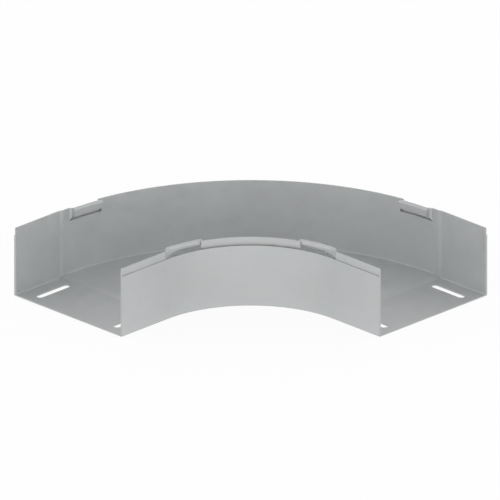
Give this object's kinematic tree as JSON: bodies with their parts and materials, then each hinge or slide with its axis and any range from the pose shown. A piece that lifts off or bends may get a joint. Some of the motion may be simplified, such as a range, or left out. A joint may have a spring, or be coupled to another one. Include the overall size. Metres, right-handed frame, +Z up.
{
  "type": "cable tray bend",
  "caption": "Flat ninety degree bend for a perforated cable tray, with a slotted push-in socket at each end, a raised curved floor and hook tabs on both rims.",
  "frame": {"origin": "middle of the square that bounds the bend in plan, on the underside of the base pan", "axes": "+Z up, out of the open top; one socket opens towards -X and the other towards -Y, and the curve bulges towards +X and +Y"},
  "size_m": [0.2274, 0.2274, 0.05],
  "materials": {
    "galvanised_sheet": "dull satin galvanised coating"
  },
  "bodies": {
    "root": {"base_pan": "galvanised_sheet", "bend_floor_plate": "galvanised_sheet", "inner_side_rail": "galvanised_sheet", "outer_side_rail": "galvanised_sheet"}
  },
  "joints": []
}
